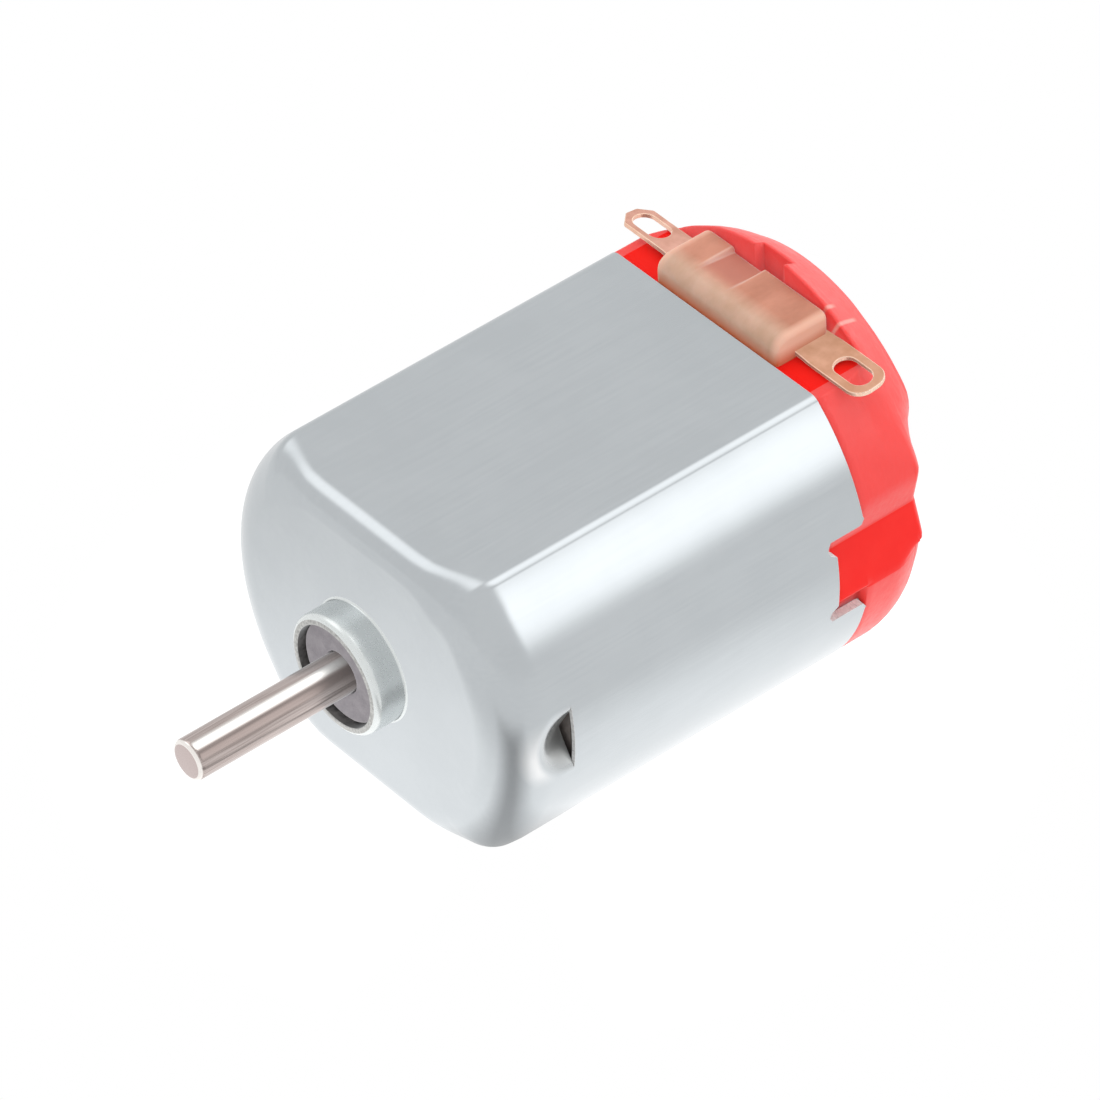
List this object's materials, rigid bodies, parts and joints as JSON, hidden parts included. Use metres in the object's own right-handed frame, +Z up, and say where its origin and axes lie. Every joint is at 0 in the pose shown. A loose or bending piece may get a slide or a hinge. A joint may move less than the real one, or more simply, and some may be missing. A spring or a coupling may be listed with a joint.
{
  "type": "brushed DC motor",
  "caption": "Small brushed DC motor: flat-sided drawn steel can, boss and output shaft in front, moulded plastic end cap with slotted solder terminals behind.",
  "frame": {"origin": "centre of the can's lower flat, halfway between its front face and its rear rim, at z = 0", "axes": "+Y along the shaft axis towards the end cap, so the output shaft points along -Y; +Z up, out of the flat that carries the terminals; +X to the right seen from the shaft's end"},
  "size_m": [0.02, 0.036, 0.0172],
  "materials": {
    "zinc_plated_steel": "bright zinc plating, satin",
    "red_plastic": "moulded, slightly translucent, glossy",
    "translucent_plastic": "moulded, translucent beige",
    "copper_alloy": "stamped sheet, satin",
    "carbon": "pressed carbon, matt",
    "sintered_bronze": "sintered, oiled, dull",
    "spring_steel": "bare",
    "ferrite": "ground, matt",
    "polished_steel": "ground and polished",
    "plate_steel": "stamped plate",
    "green_fibre": "pressed board",
    "enamelled_wire": "enamelled copper",
    "black_moulding": "moulded",
    "varistor_ceramic": "fired, with printed electrodes",
    "white_washer": "smooth"
  },
  "bodies": {
    "stator": {"can": "zinc_plated_steel", "end_cap": "red_plastic", "front_bearing": "sintered_bronze", "magnet_left": "ferrite", "magnet_right": "ferrite", "magnet_spring": "spring_steel", "rear_bearing": "sintered_bronze", "terminal_block": "translucent_plastic", "terminal_left": "copper_alloy", "terminal_right": "copper_alloy"},
    "rotor": {"shaft": "polished_steel", "coil_1": "enamelled_wire", "coil_2": "enamelled_wire", "coil_3": "enamelled_wire", "commutator_core": "black_moulding", "commutator_ring": "black_moulding", "commutator_segment_1": "copper_alloy", "commutator_segment_2": "copper_alloy", "commutator_segment_3": "copper_alloy", "front_spacer": "black_moulding", "insulator_front": "green_fibre", "insulator_rear": "green_fibre", "lamination_01": "plate_steel", "lamination_02": "plate_steel", "lamination_03": "plate_steel", "lamination_04": "plate_steel", "lamination_05": "plate_steel", "lamination_06": "plate_steel", "lamination_07": "plate_steel", "lamination_08": "plate_steel", "lamination_09": "plate_steel", "lamination_10": "plate_steel", "varistor_ring": "varistor_ceramic", "washer_front": "white_washer", "washer_rear": "white_washer"},
    "brush_body_left": {"brush_arm_left": "copper_alloy", "brush_left": "carbon"},
    "brush_body_right": {"brush_arm_right": "copper_alloy", "brush_right": "carbon"}
  },
  "joints": [
    {"name": "rotor_spin", "type": "hinge", "parent": "stator", "child": "rotor", "pos_m": [0, 0, 0.00755], "axis": [0, 1, 0], "continuous": true},
    {"name": "brush_flex_left", "type": "hinge", "parent": "stator", "child": "brush_body_left", "pos_m": [-0.00342, 0.009, 0.01305], "axis": [0, 1, 0], "range_deg": [0, 3], "stiffness_Nm_per_rad": 0.00005},
    {"name": "brush_flex_right", "type": "hinge", "parent": "stator", "child": "brush_body_right", "pos_m": [0.00342, 0.009, 0.01305], "axis": [0, -1, 0], "range_deg": [0, 3], "stiffness_Nm_per_rad": 0.00005}
  ]
}
